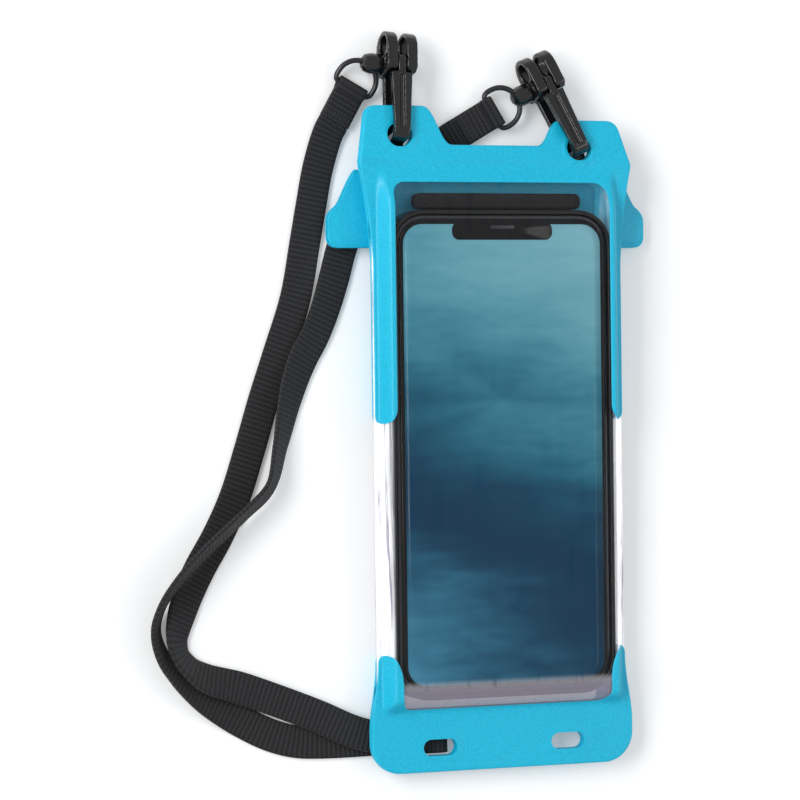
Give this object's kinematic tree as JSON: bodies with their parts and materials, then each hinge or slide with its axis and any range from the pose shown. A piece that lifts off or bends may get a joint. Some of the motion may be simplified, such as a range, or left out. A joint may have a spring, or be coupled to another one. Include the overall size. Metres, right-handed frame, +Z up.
{
  "type": "waterproof phone pouch",
  "caption": "Clear film pouch with soft blue ends and a folded closure, a phone inside, snap clips through its header and a flat neck strap.",
  "frame": {"origin": "on the floor, under the middle of the box round everything but the strap", "axes": "the pouch lies on its back: +X to its right, +Y to its top end, +Z up from the floor towards its clear front"},
  "size_m": [0.1758, 0.2414, 0.0191],
  "materials": {
    "clear_film": "clear glossy film, slightly wavy",
    "soft_blue": "satin cyan blue, soft to the touch",
    "phone_bumper": "matt black",
    "phone_shell": "satin black",
    "phone_screen": null,
    "foam": "black closed-cell foam",
    "seal": "black, hidden inside the folded closure",
    "ring_wire": "black coated wire",
    "clip_plastic": "glossy black",
    "webbing": "black woven webbing with cross ribs"
  },
  "bodies": {
    "pouch": {"front_film": "clear_film", "back_film": "clear_film", "front_upper_cover": "soft_blue", "back_upper_cover": "soft_blue", "front_lower_cover": "soft_blue", "back_lower_cover": "soft_blue", "phone_case": "phone_bumper", "phone_body": "phone_shell", "phone_glass": "phone_screen", "foam_float": "foam", "closure_inner_lip": "soft_blue", "closure_outer_lip": "soft_blue", "seal_bar": "seal", "left_clip_yoke": "clip_plastic", "left_clip_pin": "clip_plastic", "left_clip_swivel": "clip_plastic", "left_strap_ring": "ring_wire", "right_clip_yoke": "clip_plastic", "right_clip_pin": "clip_plastic", "right_clip_swivel": "clip_plastic", "right_strap_ring": "ring_wire", "left_strap_end": "webbing", "right_strap_end": "webbing", "strap": "webbing"},
    "left_arm": {"left_clip_arm": "clip_plastic"},
    "right_arm": {"right_clip_arm": "clip_plastic"}
  },
  "joints": [
    {"name": "left_clip_opening", "type": "hinge", "parent": "pouch", "child": "left_arm", "pos_m": [-0.03125, 0.11078, 0.01033], "axis": [-0.9962, 0.0872, 0], "range_deg": [0, 40]},
    {"name": "right_clip_opening", "type": "hinge", "parent": "pouch", "child": "right_arm", "pos_m": [0.01996, 0.10492, 0.01032], "axis": [-0.9205, -0.3907, 0], "range_deg": [0, 40]}
  ]
}
